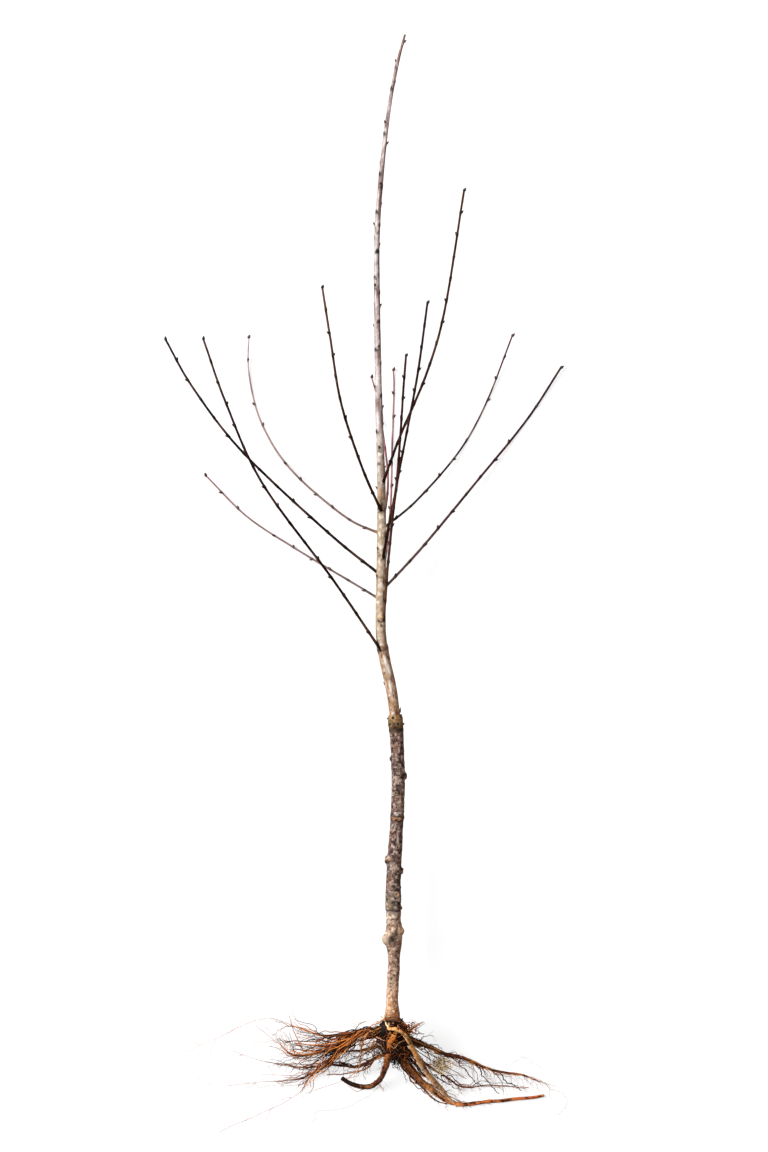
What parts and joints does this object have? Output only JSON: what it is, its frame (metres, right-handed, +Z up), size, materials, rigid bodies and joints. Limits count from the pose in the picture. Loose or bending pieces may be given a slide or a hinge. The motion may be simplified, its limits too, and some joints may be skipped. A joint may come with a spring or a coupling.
{
  "type": "bare-root sapling",
  "caption": "Dormant bare-root sapling lying on its side: a grafted stem with a swollen union, long bowed side shoots with buds, and spreading cut and fibrous roots.",
  "frame": {"origin": "on the floor that the sapling lies on, under the middle of its box", "axes": "+Y along the stem from the roots to the tip, +Z up from the floor, +X to the right of the stem seen from above"},
  "size_m": [0.6612, 1.8188, 0.3719],
  "materials": {
    "old_bark": "rough grey-brown bark with pale flecks",
    "young_bark": "smooth pale tan bark, slightly glossy",
    "dark_shoot_bark": "glossy dark red-brown bark",
    "pale_shoot_bark": "satin rose-tan bark",
    "root_bark": "orange-brown root bark",
    "fibrous_root": "brown fibrous roots with traces of soil"
  },
  "bodies": {
    "root": {"trunk": "old_bark", "leader": "young_bark", "shoot_left_bowed": "pale_shoot_bark", "shoot_left_floor": "pale_shoot_bark", "shoot_left_longest": "dark_shoot_bark", "shoot_left_lowest": "dark_shoot_bark", "shoot_left_upright": "dark_shoot_bark", "shoot_raised_short": "dark_shoot_bark", "shoot_raised_tall": "dark_shoot_bark", "shoot_right_floor": "pale_shoot_bark", "shoot_right_longest": "dark_shoot_bark", "shoot_right_tallest": "dark_shoot_bark", "shoot_under_left": "pale_shoot_bark", "shoot_under_right": "pale_shoot_bark", "root_front_pale": "root_bark", "root_left_core": "fibrous_root", "root_left_far": "fibrous_root", "root_left_low": "fibrous_root", "root_left_middle": "fibrous_root", "root_left_pale": "fibrous_root", "root_left_thin": "fibrous_root", "root_left_top": "fibrous_root", "root_left_upper": "fibrous_root", "root_loop": "root_bark", "root_right_dark": "fibrous_root", "root_right_middle": "fibrous_root", "root_right_thick": "root_bark", "root_right_top": "fibrous_root", "root_right_under": "fibrous_root", "root_right_upper": "fibrous_root", "root_under_left": "fibrous_root", "root_under_right": "fibrous_root"}
  },
  "joints": []
}
